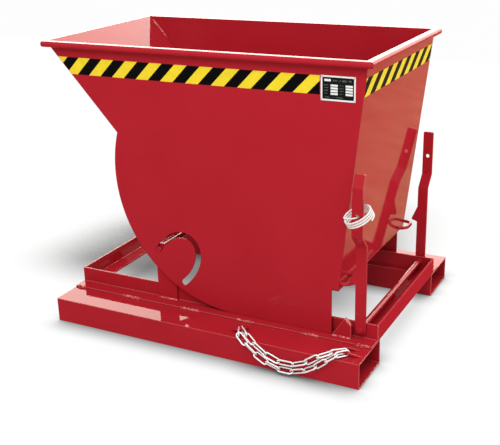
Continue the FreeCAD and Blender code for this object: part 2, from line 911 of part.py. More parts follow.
def even_points(route, count):
    """Points that divide a route of straight runs into equal lengths."""
    lengths = [0]
    for a, b in zip(route, route[1:]):
        lengths.append(lengths[-1] + (b - a).Length)
    points = []
    run = 0
    for i in range(count + 1):
        target = lengths[-1] * i / count
        while run < len(route) - 2 and lengths[run + 1] < target:
            run += 1
        share = (target - lengths[run]) / (lengths[run + 1] - lengths[run])
        points.append(route[run] + (route[run + 1] - route[run]) * share)
    return points


def joint_reaches(ways):
    """How far the wire of each link passes its joints, more where the chain bends."""
    straight = (s.link_wire + s.link_slack).value / 2
    bends = [0] + [a.getAngle(b) for a, b in zip(ways, ways[1:])] + [0]
    return [straight / math.cos(bend * BEND_ROOM_SHARE) for bend in bends]


def safety_chain():
    strands = {
        "upper": (s.upper_front, s.upper_rear, s.upper_sag, s.upper_bow_angle, UPPER_LINKS),
        "lower": (s.lower_front, s.lower_rear, s.lower_sag, s.lower_bow_angle, LOWER_LINKS),
    }
    for name, (front_edge, rear_edge, sag, bow_angle, count) in strands.items():
        joints = even_points(strand_points(front_edge, rear_edge, sag, bow_angle), count)
        ways = [(b - a).normalize() for a, b in zip(joints, joints[1:])]
        reaches = joint_reaches(ways)
        links = []
        for i, (way, normal) in enumerate(zip(ways, link_normals(ways))):
            start = joints[i] - way * reaches[i]
            end = joints[i + 1] + way * reaches[i + 1]
            links.append(chain_link(start, end, normal))
        chords = [(b - a).Length for a, b in zip(joints, joints[1:])]
        print("chain", name, "links of pitch", round(min(chords), 1), "to", round(max(chords), 1))
        label = f"chain_strand_{name}"
        keep(label, feature(label, Part.makeCompound(links)))


def arc_from(start, way, end):
    """The arc that leaves start along way and comes to end."""
    chord = end - start
    along = Vector(chord).normalize()
    aside = way - along * way.dot(along)
    bulge = chord.Length / 2 * math.tan(way.getAngle(chord) / 2)
    middle = start + chord / 2 + aside.normalize() * bulge
    return Part.Arc(start, middle, end)


def biarc(start, start_way, end, end_way):
    """Two arcs that run into each other, from one point and direction to another."""
    chord = end - start
    ways = start_way + end_way
    spread = 2 * (1 - start_way.dot(end_way))
    run = chord.dot(ways)
    reach = (-run + math.sqrt(run**2 + spread * chord.dot(chord))) / spread
    middle = (start + end + (start_way - end_way) * reach) / 2
    first = arc_from(start, start_way, middle)
    second = arc_from(end, end_way * -1, middle)
    return [first, second]


def release_rope():
    """The latch rope: turns round the near lever, and an end that passes through the lever's hole."""
    slope_x, slope_y = COIL_SLOPE_SHARES
    normal = Vector(-slope_x, -slope_y, 1).normalize()
    axis_a = Vector(1, 0, slope_x).normalize()
    axis_b = normal.cross(axis_a)
    hole_z = s.rope_hole_height.value
    face = lever_outer + s.lever_crank_out
    height = (s.rope_hole_height + s.coil_rise).value
    middle = Vector((rear - s.coil_back).value, -(face + s.coil_out).value, height)
    climb = s.coil_pitch.value / (2 * math.pi)

    def turn(angle):
        radial = axis_a * math.cos(angle) + axis_b * math.sin(angle)
        tangent = axis_b * math.cos(angle) - axis_a * math.sin(angle)
        rise = climb * (angle - COIL_MIDDLE)
        way = tangent * s.coil_radius.value + normal * climb
        return middle + radial * s.coil_radius.value + normal * rise, way.normalize()

    quarters = round((COIL_END - COIL_START) / (math.pi / 2))
    step = (COIL_END - COIL_START) / quarters
    stations = [turn(COIL_START + step * i) for i in range(quarters + 1)]
    start, start_way = stations[0]
    curves = [Part.LineSegment(start - start_way * s.rope_diameter.value, start)]
    for (a, way_a), (b, way_b) in zip(stations, stations[1:]):
        curves += biarc(a, way_a, b, way_b)
    seat = hole_z - (s.rope_hole_diameter - s.rope_diameter).value / 2 + s.coil_rest.value
    inward = Vector(0, 1, 0)
    mouth = Vector(latch.value, -(face + s.rope_diameter).value, seat)
    inside = Vector(latch.value, -(face - s.lever_thick - s.rope_diameter).value, seat)
    curves += biarc(*stations[-1], mouth, inward)
    curves.append(Part.LineSegment(mouth, inside))
    path = Part.Wire([curve.toShape() for curve in curves])
    first = curves[0]
    ring = Part.Wire(Part.Circle(first.StartPoint, start_way, s.rope_diameter.value / 2).toShape())
    rope = path.makePipeShell([ring], True, False)
    report_rope(path, rope)
    keep("release_rope", feature("release_rope", rope))


def report_rope(path, rope):
    """Print the rope's length, its volume against its section, and its least gap to itself."""
    diameter = s.rope_diameter.value
    spacing = diameter / 4
    points = path.discretize(Distance=spacing)
    skip = int(4 * diameter / spacing)
    nearest = min(
        (points[j] - points[i]).Length
        for i in range(len(points))
        for j in range(i + skip, len(points))
    )
    section = math.pi * diameter**2 / 4
    print("rope length", round(path.Length), "least gap", round(nearest - diameter, 2))
    print("rope volume share", round(rope.Volume / (section * path.Length), 4))


def build():
    pockets()
    rails()
    cross_members()
    guide_brackets()
    guide_shaft()
    rear_stop()
    side_plates()
    rolling_centre_studs()
    hopper_panels()
    rims()
    doc.recompute()
    keepers()
    levers()
    latch_shaft()
    latch_hardware()
    data_plate()
    chain_eyes()
    safety_chain()
    release_rope()
    doc.recompute()


def check_and_write():
    for thing in doc.Objects:
        if "Invalid" in thing.State or "Error" in thing.State:
            raise RuntimeError(f"{thing.Name} failed: {thing.State}")
    for label, thing in parts.items():
        if thing.Shape.isNull() or not thing.Shape.isValid():
            raise RuntimeError(f"{label} has no valid shape")
    os.makedirs("parts", exist_ok=True)
    for label, thing in parts.items():
        thing.Shape.exportStep(f"parts/{label}.step")
        print(label, len(thing.Shape.Solids), "solids", round(thing.Shape.Volume), "mm3")


build()
check_and_write()
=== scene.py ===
import json
import math

import bmesh
import bpy
from mathutils import Matrix, Vector

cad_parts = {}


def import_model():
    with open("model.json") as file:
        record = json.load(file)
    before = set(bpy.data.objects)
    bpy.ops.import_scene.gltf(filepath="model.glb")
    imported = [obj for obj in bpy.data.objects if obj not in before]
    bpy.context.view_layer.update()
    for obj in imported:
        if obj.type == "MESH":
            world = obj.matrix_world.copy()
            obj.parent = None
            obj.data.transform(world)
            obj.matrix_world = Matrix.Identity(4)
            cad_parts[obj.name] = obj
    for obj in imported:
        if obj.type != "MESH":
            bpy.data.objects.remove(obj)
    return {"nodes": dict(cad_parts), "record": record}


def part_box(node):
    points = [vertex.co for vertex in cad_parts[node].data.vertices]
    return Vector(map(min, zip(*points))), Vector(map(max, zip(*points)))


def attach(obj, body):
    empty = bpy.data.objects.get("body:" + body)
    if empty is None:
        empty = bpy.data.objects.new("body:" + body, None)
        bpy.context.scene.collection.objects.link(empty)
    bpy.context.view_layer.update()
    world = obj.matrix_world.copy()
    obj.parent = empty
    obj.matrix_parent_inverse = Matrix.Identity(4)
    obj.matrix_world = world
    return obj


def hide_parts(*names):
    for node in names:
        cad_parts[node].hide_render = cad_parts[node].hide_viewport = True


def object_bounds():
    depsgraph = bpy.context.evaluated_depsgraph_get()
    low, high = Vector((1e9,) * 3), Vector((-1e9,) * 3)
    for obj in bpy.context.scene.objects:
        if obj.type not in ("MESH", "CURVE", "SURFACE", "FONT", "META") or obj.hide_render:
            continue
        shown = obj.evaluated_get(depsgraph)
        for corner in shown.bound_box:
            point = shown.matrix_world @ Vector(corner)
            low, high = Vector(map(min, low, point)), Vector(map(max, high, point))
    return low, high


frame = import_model()
cad_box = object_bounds()

# Lengths are metres. +X points to the fork entry, -Y is the near side, +Z is up.

# Camera, fitted to the straight edges of the base and the hopper in the photograph
IMAGE_WIDTH_PX = 500
FOCAL_PX = 902.0
SENSOR_WIDTH_MM = 36.0
CAMERA_PLACE = Vector((1.5175, -2.851, 1.510))
CAMERA_AZIMUTH = math.radians(28.03)
CAMERA_ELEVATION = math.radians(20.37)
CAMERA_ROLL = math.radians(-1.60)

# Colours, linear
RED = (0.415, 0.0150, 0.0250, 1.0)
RED_DEEP = (0.395, 0.0130, 0.0220, 1.0)
RED_SHADE = (0.020, 0.0010, 0.0020, 1.0)
HIGHLIGHT_PINK = (0.780, 0.330, 0.300, 1.0)
YELLOW = (0.850, 0.650, 0.030, 1.0)
BLACK = (0.0030, 0.0030, 0.0035, 1.0)
BLACK_PALE = (0.0060, 0.0080, 0.0070, 1.0)
PRINT_GREY = (0.100, 0.130, 0.115, 1.0)
WHITE = (0.800, 0.800, 0.780, 1.0)
WHITE_DULL = (0.720, 0.720, 0.700, 1.0)
ZINC = (0.980, 0.990, 0.990, 1.0)
ZINC_DULL = (0.860, 0.880, 0.880, 1.0)
ZINC_PAINTED_SHADE = (0.020, 0.022, 0.024, 1.0)
STEEL = (0.620, 0.620, 0.610, 1.0)
ROPE_WHITE = (0.840, 0.840, 0.810, 1.0)
ROPE_GREY = (0.640, 0.640, 0.620, 1.0)
FLOOR_PALE = (0.880, 0.880, 0.880, 1.0)
FLOOR_GREY = (0.700, 0.700, 0.700, 1.0)
FLOOR_DIM = (0.250, 0.220, 0.200, 1.0)
FLOOR_WARM = (1.0, 0.700, 0.400, 1.0)
FLOOR_BROWN = (0.740, 0.470, 0.250, 1.0)
SKY_CREAM = (1.0, 0.960, 0.860, 1.0)
PURE_WHITE = (1.0, 1.0, 1.0, 1.0)

# Noise textures: cells per metre and levels of detail, and the part of the range that noise fills
PAINT_DRIFT_NOISE = (5.0, 4.0)
PAINT_PEEL_NOISE = (330.0, 2.0)
PAINT_GLOSS_NOISE = (14.0, 5.0)
WELD_HIGHLIGHT_NOISE = (170.0, 1.0)
WELD_GLOSS_NOISE = (40.0, 2.0)
ZINC_DRIFT_NOISE = (60.0, 4.0)
ZINC_FINE_NOISE = (540.0, 2.0)
STEEL_DRIFT_NOISE = (80.0, 4.0)
STEEL_FINE_NOISE = (720.0, 2.0)
ROPE_YARN_NOISE = (900.0, 3.0)
ROPE_GLOSS_NOISE = (60.0, 2.0)
TAPE_WEAR_NOISE = (40.0, 4.0)
TAPE_GLOSS_NOISE = (90.0, 2.0)
TAPE_GRAIN_NOISE = (160.0, 2.0)
PRINT_TONE_NOISE = (120.0, 2.0)
PRINT_GLOSS_NOISE = (300.0, 2.0)
FLOOR_TONE_NOISE = (1.5, 2.0)
FLOOR_BACK_NOISE = (5.0, 3.0)
NOISE_SHARES = (0.3, 0.7)
WHOLE_SHARES = (0.0, 1.0)

# Bumps: strength, and height in metres
PAINT_PEEL_BUMP = (0.05, 0.0006)
METAL_BUMP = (0.12, 0.0003)
ROPE_BUMP = (0.25, 0.0004)
TAPE_BUMP = (0.04, 0.0005)

# Roughness from low to high, and the other shares of each finish
PAINT_ROUGH_SHARES = (0.24, 0.34)
PAINT_COAT_ROUGH_SHARE = 0.03
COAT_IOR = 1.22
WELD_ROUGH_SHARES = (0.24, 0.36)
WELD_COAT_ROUGH_SHARE = 0.05
# Painted highlight on the weld beads: its noise span and its paleness
WELD_HIGHLIGHT_NOISE_SHARES = (0.45, 0.60)
WELD_HIGHLIGHT_SHARE = 0.75
ZINC_ROUGH_SHARES = (0.22, 0.38)
ZINC_METAL_SHARE = 0.35
ZINC_OPEN_SHARES = (0.30, 0.75)
ZINC_SHADE_REACH = 0.012
STEEL_ROUGH_SHARES = (0.24, 0.40)
ROPE_ROUGH_SHARES = (0.62, 0.80)
ROPE_SHEEN_SHARE = 0.2
TAPE_ROUGH_SHARES = (0.40, 0.55)
TAPE_WEAR_SHARES = (0.90, 1.0)
TAPE_GLOSS_SHARE = 0.04
PRINT_ROUGH_SHARES = (0.40, 0.55)
PRINT_GLOSS_SHARE = 0.12
FLOOR_ROUGH_SHARE = 0.6
FLOOR_GLOSS_SHARE = 0.2

# Rounded paint edges, the pieces whose edges get a painted pale highlight, and the pieces with less gloss
EDGE_RADIUS = 0.0030
EDGE_SAMPLES = 6
EDGE_HIGHLIGHT_SHARE = 0.60
EDGE_TURN_SHARES = (0.80, 0.985)
EDGE_HIGHLIGHT_NODES = (
    "fork_pocket_near",
    "fork_pocket_far",
    "rail_near",
    "rail_far",
    "front_cross_member",
    "rear_stop",
)
GRIP_FROM_Z = 0.600
RIM_NODES = ("rim_near", "rim_far", "rim_front", "rim_rear")
RIM_COAT_SHARE = 0.6
REAR_COAT_SHARE = 0.05

# Deep shade in the gaps below the hopper and inside the pockets
GAP_REACH = 0.25
GAP_OPEN_SHARES = (0.03, 0.15)
HOLLOW_SAMPLES = 8

# Hazard tape on the hopper's walls
TAPE_LOW = 0.909
TAPE_HIGH = 0.968
TAPE_MIDDLE = (TAPE_LOW + TAPE_HIGH) / 2
TAPE_THICK = 0.0004
TAPE_EDGE = 0.002
TAPE_SIDE_PERIOD = 0.0980
TAPE_SIDE_START = -0.5117
TAPE_SIDE_END = 0.4325
TAPE_REAR_PERIOD = 0.0924
TAPE_REAR_START = -0.3025
TAPE_YELLOW_SHARE = 0.5

# Data plate: white border, blank fields in two columns, and grey strips beside them
FIELD_RAISE = 0.0003
FIELD_BORDER = 0.0052
FIELD_CORNER = 0.0045
FIELD_CORNER_STEPS = 6
FIELD_ROWS = 4
FIELD_COLUMN_SHARES = ((0.285, 0.490), (0.715, 0.920))
FIELD_FOOT_SHARE = 0.245
FIELD_PITCH_SHARE = 0.110
FIELD_FILL_SHARE = 0.72
HEADER_WIDTH_SHARES = (0.100, 0.290)
HEADER_HEIGHT_SHARES = (0.770, 0.860)
STRIP_FILL_SHARE = 0.30
STRIP_COLUMN_SHARES = ((0.095, 0.215), (0.545, 0.665))
TITLE_STRIP_SHARES = ((0.350, 0.480), (0.510, 0.585), (0.615, 0.740), (0.770, 0.885))
TITLE_HEIGHT_SHARES = (0.775, 0.845)
FOOT_STRIP_SHARES = ((0.110, 0.270), (0.310, 0.380), (0.410, 0.640))
FOOT_HEIGHT_SHARES = (0.125, 0.165)

# Weld beads: the base's stitches along each rail, and the hopper's inner seams
BEAD = 0.0045
BEAD_STEP = 0.0040
BEAD_SIDES = 10
BEAD_LEAST_RINGS = 4
BEAD_RIPPLE_SHARE = 0.16
BEAD_TIP_SHARE = 0.15
BEAD_TAPER_POWER = 10
STITCH = 0.0060
STITCH_SINK = 0.0025
STITCH_SHARES = (
    (0.006, 0.034),
    (0.180, 0.242),
    (0.388, 0.458),
    (0.581, 0.641),
    (0.787, 0.842),
    (0.950, 0.992),
)
SEAM_INSET = 0.0025
SEAM_LOW_SHARE = 0.55
SEAM_HIGH_SHARES = (0.890, 0.985)

# Rope of the latch: the coil's middle, size and slope, and its end in the lever's hole
ROPE_DIAMETER = 0.006
COIL_CENTRE = Vector((0.5840, -0.379, 0.5455))
COIL_RADIUS = 0.045
COIL_PITCH = 0.0080
COIL_SLOPE_SHARES = (0.43, 0.33)
COIL_START = math.radians(-15)
COIL_END = math.radians(195 + 3 * 360)
COIL_POINTS_PER_TURN = 24
ROPE_MOUTH = Vector((0.5750, -0.3765, 0.5372))
ROPE_INSIDE = Vector((0.5750, -0.3565, 0.5372))
ROPE_LINE_STEPS = 6
ROPE_STRANDS = 3
ROPE_LAY = 0.021
STRAND_RADIUS_SHARE = 0.56
STRAND_SIDES = 8

# Stopper knot: a trefoil of two turns and three crossings
KNOT_RADIUS = 0.0070
KNOT_TURNS = 2
KNOT_CROSSINGS = 3
KNOT_STEPS = 48
KNOT_RING_SHARE = 0.62
KNOT_STRAND_SHARE = 0.42

# Floor, with its wide shade and its narrow one where the skip stands
FLOOR_HALF = 14.0
SHADE_REACH = 1.2
SHADE_SAMPLES = 16
SHADE_SLANT = (0.66, -0.60, 0.45)
SHADE_SHARE = 0.24
SHADE_OPEN_SHARES = (0.70, 0.91)
SHADE_MIX_SHARE = 0.96
CONTACT_REACH = 0.100
CONTACT_SHARE = 0.05
CONTACT_OPEN_SHARES = (0.32, 0.99)
WARM_FROM_TO_Y = (0.20, 0.60)

# Sides on which the wide shade fades: the axis, where the shade is full and where it is gone
SHADE_ENDS = (("X", (0.15, 0.65)), ("X", (-0.80, -1.25)), ("Y", (0.10, -0.25)))

# Light of the world on the object
WORLD_FILL_SHARE = 0.60

# Soft boxes: place, aim, width, height, power in watts, colour, and whether they light more than gloss
OBJECT_MIDDLE = (0.0, 0.0, 0.5)
SOFT_BOXES = {
    "front_box": ((0.9, -3.0, 4.2), OBJECT_MIDDLE, 3.2, 2.6, 144.0, PURE_WHITE, True),
    "right_box": ((4.0, -0.6, 2.4), OBJECT_MIDDLE, 2.6, 2.4, 42.0, PURE_WHITE, True),
    "back_wall": ((-1.2, 4.6, 2.3), (-1.2, 0.0, 1.0), 9.6, 2.6, 465.0, SKY_CREAM, True),
    "back_top": ((0.7, 5.0, 4.7), (-0.4, 0.0, 0.9), 4.0, 2.2, 290.0, SKY_CREAM, False),
}


class Graph:
    """The nodes of one material, or of the world."""

    def __init__(self, owner):
        owner.use_nodes = True
        self.owner = owner
        self.tree = owner.node_tree

    def put(self, socket, value):
        """Link a socket to another one, or set its value."""
        if isinstance(value, bpy.types.NodeSocket):
            self.tree.links.new(value, socket)
        else:
            socket.default_value = value

    def add(self, kind, **settings):
        node = self.tree.nodes.new(f"ShaderNode{kind}")
        for key, value in settings.items():
            setattr(node, key, value)
        return node

    def feed(self, node, **values):
        """Fill inputs by name; an underscore stands for a space."""
        for key, value in values.items():
            self.put(node.inputs[key.replace("_", " ")], value)

    def surface(self, **values):
        """Fill the material's own shader, and give the material back."""
        self.feed(self.tree.nodes["Principled BSDF"], **values)
        return self.owner

    def place(self):
        return self.add("TexCoord").outputs["Object"]

    def along(self, axis):
        """The place along one axis, "X", "Y" or "Z"."""
        node = self.add("SeparateXYZ")
        self.feed(node, Vector=self.place())
        return node.outputs[axis]

    def noise(self, scale, detail):
        node = self.add("TexNoise")
        self.feed(node, Vector=self.place(), Scale=scale, Detail=detail)
        return node.outputs["Fac"]

    def between(self, factor, low, high, ends=NOISE_SHARES, kind="LINEAR"):
        """A number that goes from low to high as factor goes from the first of the ends to the second."""
        node = self.add("MapRange", interpolation_type=kind)
        self.feed(node, Value=factor, From_Min=ends[0], From_Max=ends[1], To_Min=low, To_Max=high)
        return node.outputs["Result"]

    def colours(self, factor, low, high):
        node = self.add("Mix", data_type="RGBA")
        values = {"Factor_Float": factor, "A_Color": low, "B_Color": high}
        for socket in node.inputs:
            if socket.identifier in values:
                self.put(socket, values[socket.identifier])
        return next(s for s in node.outputs if s.identifier == "Result_Color")

    def mottled(self, noise, low, high):
        """A colour that drifts between two with a noise texture."""
        return self.colours(self.between(self.noise(*noise), 0.0, 1.0), low, high)

    def maths(self, operation, *values):
        node = self.add("Math", operation=operation)
        for socket, value in zip(node.inputs, values):
            self.put(socket, value)
        return node.outputs["Value"]

    def openness(self, reach, samples, **values):
        """How open the surroundings are within reach, from 0 to 1."""
        node = self.add("AmbientOcclusion", samples=samples)
        self.feed(node, Distance=reach, **values)
        return node.outputs["AO"]

    def bump(self, height, strength, distance, **values):
        node = self.add("Bump")
        self.feed(node, Height=height, Strength=strength, Distance=distance, **values)
        return node.outputs["Normal"]

    def glow(self, colour):
        """A light of strength 1, of one colour or of a linked one."""
        node = self.add("Emission")
        self.feed(node, Color=colour, Strength=1.0)
        return node.outputs["Emission"]

    def blend_shaders(self, factor, first, second):
        node = self.add("MixShader")
        for socket, value in zip(node.inputs, (factor, first, second)):
            self.put(socket, value)
        return node.outputs["Shader"]


def new_graph(name):
    return Graph(bpy.data.materials.new(name))


def painted_edge_highlight(graph, rounded, edge_share, from_z):
    """Painted pale highlight on rounded edges: up to edge_share where the rounded normal leaves the
    face's own, above from_z.
    """
    turn = graph.add("VectorMath", operation="DOT_PRODUCT")
    face_normal = graph.add("NewGeometry").outputs["True Normal"]
    for socket, value in zip(turn.inputs, (rounded, face_normal)):
        graph.put(socket, value)
    edge = graph.between(turn.outputs["Value"], edge_share, 0.0, EDGE_TURN_SHARES)
    return graph.maths("MULTIPLY", edge, graph.maths("GREATER_THAN", graph.along("Z"), from_z))


def red_paint(name, edge_share=0.0, coat_share=1.0, edge_from_z=0.0):
    """Gloss enamel: slight colour drift, orange peel, a painted highlight that makes rounded edges paler
    by edge_share, and painted shade in deep gaps.
    """
    graph = new_graph(name)
    bevel = graph.add("Bevel", samples=EDGE_SAMPLES)
    graph.feed(bevel, Radius=EDGE_RADIUS)
    rounded = bevel.outputs["Normal"]
    peel = graph.bump(graph.noise(*PAINT_PEEL_NOISE), *PAINT_PEEL_BUMP, Normal=rounded)
    colour = graph.mottled(PAINT_DRIFT_NOISE, RED_DEEP, RED)
    # Painted highlight: rounded edges are mixed towards pale pink.
    if edge_share > 0.0:
        colour = graph.colours(painted_edge_highlight(graph, rounded, edge_share, edge_from_z), colour, HIGHLIGHT_PINK)
    # Painted shade: dark red where the surroundings close in, below the hopper and inside the pockets.
    gap_shade_mask = graph.between(graph.openness(GAP_REACH, HOLLOW_SAMPLES), 0.0, 1.0, GAP_OPEN_SHARES)
    return graph.surface(
        Base_Color=graph.colours(gap_shade_mask, RED_SHADE, colour),
        Roughness=graph.between(graph.noise(*PAINT_GLOSS_NOISE), *PAINT_ROUGH_SHARES),
        Normal=peel,
        Coat_Weight=coat_share,
        Coat_Roughness=PAINT_COAT_ROUGH_SHARE,
        Coat_IOR=COAT_IOR,
        Specular_IOR_Level=0.0,
        Coat_Normal=peel,
    )


def weld_paint():
    """Enamel over weld beads, with a painted pale highlight in spots set by noise."""
    graph = new_graph("weld_paint")
    # Painted highlight: noisy spots on the beads turn pale pink.
    painted_weld_highlight = graph.between(graph.noise(*WELD_HIGHLIGHT_NOISE), 0.0, WELD_HIGHLIGHT_SHARE, WELD_HIGHLIGHT_NOISE_SHARES)
    return graph.surface(
        Base_Color=graph.colours(painted_weld_highlight, RED, HIGHLIGHT_PINK),
        Roughness=graph.between(graph.noise(*WELD_GLOSS_NOISE), *WELD_ROUGH_SHARES),
        Coat_Weight=1.0,
        Coat_Roughness=WELD_COAT_ROUGH_SHARE,
        Coat_IOR=COAT_IOR,
        Specular_IOR_Level=0.0,
    )


def bright_zinc():
    """Plated chain wire with painted shade: dark between and behind the links, bright where it is open.
    """
    graph = new_graph("bright_zinc")
    # Painted shade: the wire darkens where the surroundings close in within ZINC_SHADE_REACH.
    shown = graph.between(graph.openness(ZINC_SHADE_REACH, HOLLOW_SAMPLES), 0.0, 1.0, ZINC_OPEN_SHARES)
    fine = graph.noise(*ZINC_FINE_NOISE)
    return graph.surface(
        Base_Color=graph.colours(shown, ZINC_PAINTED_SHADE, graph.mottled(ZINC_DRIFT_NOISE, ZINC_DULL, ZINC)),
        Metallic=ZINC_METAL_SHARE,
        Roughness=graph.between(fine, *ZINC_ROUGH_SHARES),
        Normal=graph.bump(fine, *METAL_BUMP),
    )


def bright_steel():
    """Bare rivet heads."""
    graph = new_graph("bright_steel")
    fine = graph.noise(*STEEL_FINE_NOISE)
    return graph.surface(
        Base_Color=graph.mottled(STEEL_DRIFT_NOISE, ZINC_DULL, STEEL),
        Metallic=1.0,
        Roughness=graph.between(fine, *STEEL_ROUGH_SHARES),
        Normal=graph.bump(fine, *METAL_BUMP),
    )


def rope_fibre():
    """White yarn with a little sheen."""
    graph = new_graph("rope_fibre")
    yarn = graph.noise(*ROPE_YARN_NOISE)
    return graph.surface(
        Base_Color=graph.colours(graph.between(yarn, 0.0, 1.0), ROPE_GREY, ROPE_WHITE),
        Roughness=graph.between(graph.noise(*ROPE_GLOSS_NOISE), *ROPE_ROUGH_SHARES),
        Normal=graph.bump(yarn, *ROPE_BUMP),
        Sheen_Weight=ROPE_SHEEN_SHARE,
    )


def hazard_stripes(name, axis, start, period):
    """Yellow and black bands that lean by 45 degrees, on tape that runs along an axis, "X" or "Y"."""
    graph = new_graph(name)
    rise = graph.maths("SUBTRACT", graph.along("Z"), TAPE_MIDDLE)
    run = graph.maths("SUBTRACT", graph.maths("SUBTRACT", graph.along(axis), start), rise)
    phase = graph.maths("FRACT", graph.maths("DIVIDE", run, period))
    band = graph.maths("GREATER_THAN", phase, TAPE_YELLOW_SHARE)
    tone = graph.add("HueSaturation")
    wear = graph.between(graph.noise(*TAPE_WEAR_NOISE), *TAPE_WEAR_SHARES)
    graph.feed(tone, Color=graph.colours(band, YELLOW, BLACK), Value=wear)
    return graph.surface(
        Base_Color=tone.outputs["Color"],
        Roughness=graph.between(graph.noise(*TAPE_GLOSS_NOISE), *TAPE_ROUGH_SHARES),
        Normal=graph.bump(graph.noise(*TAPE_GRAIN_NOISE), *TAPE_BUMP),
        Specular_IOR_Level=TAPE_GLOSS_SHARE,
    )


def print_coat(name, colour, other):
    """Printed coat of the data plate, mottled between two colours."""
    graph = new_graph(name)
    return graph.surface(
        Base_Color=graph.mottled(PRINT_TONE_NOISE, colour, other),
        Roughness=graph.between(graph.noise(*PRINT_GLOSS_NOISE), *PRINT_ROUGH_SHARES),
        Specular_IOR_Level=PRINT_GLOSS_SHARE,
    )


paint = red_paint("red_paint")
rim_paint = red_paint("red_paint_rim", coat_share=RIM_COAT_SHARE)
rear_paint = red_paint("red_paint_rear", EDGE_HIGHLIGHT_SHARE, REAR_COAT_SHARE)
grip_paint = red_paint("red_paint_grip", EDGE_HIGHLIGHT_SHARE, edge_from_z=GRIP_FROM_Z)
edge_highlight_paint = red_paint("red_paint_edge_highlights", EDGE_HIGHLIGHT_SHARE)
bead_paint = weld_paint()
zinc = bright_zinc()
steel = bright_steel()
fibre = rope_fibre()
plate_black = print_coat("plate_black", BLACK, BLACK_PALE)
plate_white = print_coat("plate_white", WHITE, WHITE_DULL)
plate_grey = print_coat("plate_grey", BLACK, PRINT_GREY)

SLOT_MATERIALS = {
    "red_paint": paint,
    "zinc_chain": zinc,
    "bright_steel": steel,
    "white_rope": fibre,
    "plate_black": plate_black,
}


def paint_nodes():
    """Give every solid the finish of its material slot, or its own variant of the red paint."""
    special = {node: edge_highlight_paint for node in EDGE_HIGHLIGHT_NODES}
    special.update({node: rim_paint for node in RIM_NODES})
    special["rear_cross_member"] = rear_paint
    special["latch_lever_near"] = grip_paint
    for row in frame["record"]["subparts"]:
        solid = frame["nodes"][row["node"]]
        for place in solid.material_slots:
            place.material = special.get(row["node"], SLOT_MATERIALS[row["material_slot"]])


def mesh_piece(name, bm, material, body, smooth=False):
    """Turn a bmesh into a piece that rides on a body."""
    mesh = bpy.data.meshes.new(name)
    bmesh.ops.recalc_face_normals(bm, faces=bm.faces)
    bm.to_mesh(mesh)
    bm.free()
    piece = bpy.data.objects.new(name, mesh)
    bpy.context.scene.collection.objects.link(piece)
    mesh.materials.append(material)
    for face in mesh.polygons:
        face.use_smooth = smooth
    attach(piece, body)
    return piece


def thin_plate(bm, corners, lift):
    """A closed plate over the corners, raised by the vector lift."""
    low = [bm.verts.new(c) for c in corners]
    high = [bm.verts.new(Vector(c) + lift) for c in corners]
    bm.faces.new(low)
    bm.faces.new(high)
    count = len(corners)
    for i in range(count):
        j = (i + 1) % count
        bm.faces.new((low[i], low[j], high[j], high[i]))


def leaning_x(low_x, high_x, z, low_z, high_z):
    """X of a leaning edge at height z."""
    return low_x + (high_x - low_x) * (z - low_z) / (high_z - low_z)


def add_tape(place_name, corners, lift, stripes):
    bm = bmesh.new()
    thin_plate(bm, corners, lift)
    mesh_piece(f"hazard_tape_{place_name}", bm, stripes, "hopper")


def tapes():
    """Hazard tape on both side plates and across the rear wall."""
    front_low, front_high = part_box("front_panel")
    floor_low, floor_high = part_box("floor_panel")
    rear_low, rear_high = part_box("rear_panel")
    near_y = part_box("side_plate_near")[0].y
    far_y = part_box("side_plate_far")[1].y

    def front_edge(z):
        return leaning_x(floor_low.x, front_low.x, z, front_low.z, front_high.z) + TAPE_EDGE

    def rear_edge(z):
        return leaning_x(floor_high.x, rear_high.x, z, rear_low.z, rear_high.z)

    side_stripes = hazard_stripes("side_stripes", "X", TAPE_SIDE_START, TAPE_SIDE_PERIOD)
    for side, y, outward in (("near", near_y, -TAPE_THICK), ("far", far_y, TAPE_THICK)):
        corners = [
            (front_edge(TAPE_LOW), y, TAPE_LOW),
            (TAPE_SIDE_END, y, TAPE_LOW),
            (TAPE_SIDE_END, y, TAPE_HIGH),
            (front_edge(TAPE_HIGH), y, TAPE_HIGH),
        ]
        add_tape(side, corners, Vector((0, outward, 0)), side_stripes)
    rear_stripes = hazard_stripes("rear_stripes", "Y", TAPE_REAR_START, TAPE_REAR_PERIOD)
    corners = [
        (rear_edge(TAPE_LOW), rear_low.y, TAPE_LOW),
        (rear_edge(TAPE_LOW), rear_high.y, TAPE_LOW),
        (rear_edge(TAPE_HIGH), rear_high.y, TAPE_HIGH),
        (rear_edge(TAPE_HIGH), rear_low.y, TAPE_HIGH),
    ]
    add_tape("rear", corners, Vector((TAPE_THICK, 0, 0)), rear_stripes)


def rounded_corners(x0, x1, z0, z1, radius):
    """Outline of an upright rectangle with rounded corners, as (x, z) points."""
    points = []
    middles = (
        (x1 - radius, z1 - radius),
        (x0 + radius, z1 - radius),
        (x0 + radius, z0 + radius),
        (x1 - radius, z0 + radius),
    )
    for quarter, (x, z) in enumerate(middles):
        for i in range(FIELD_CORNER_STEPS + 1):
            angle = math.pi / 2 * (quarter + i / FIELD_CORNER_STEPS)
            points.append((x + radius * math.cos(angle), z + radius * math.sin(angle)))
    return points


def border_ring(bm, low, high, lift):
    """A raised closed frame along the edge of the data plate."""
    edge = FIELD_BORDER
    outer = rounded_corners(low.x, high.x, low.z, high.z, FIELD_CORNER / FIELD_CORNER_STEPS)
    inner = rounded_corners(low.x + edge, high.x - edge, low.z + edge, high.z - edge, FIELD_CORNER)
    loops = []
    for points in (outer, inner):
        for raise_by in (Vector(), lift):
            loops.append([bm.verts.new(Vector((x, low.y, z)) + raise_by) for x, z in points])
    outer_low, outer_high, inner_low, inner_high = loops
    count = len(outer)
    for i in range(count):
        j = (i + 1) % count
        for a, b in (
            (outer_low, outer_high),
            (outer_high, inner_high),
            (inner_high, inner_low),
            (inner_low, outer_low),
        ):
            bm.faces.new((a[i], a[j], b[j], b[i]))


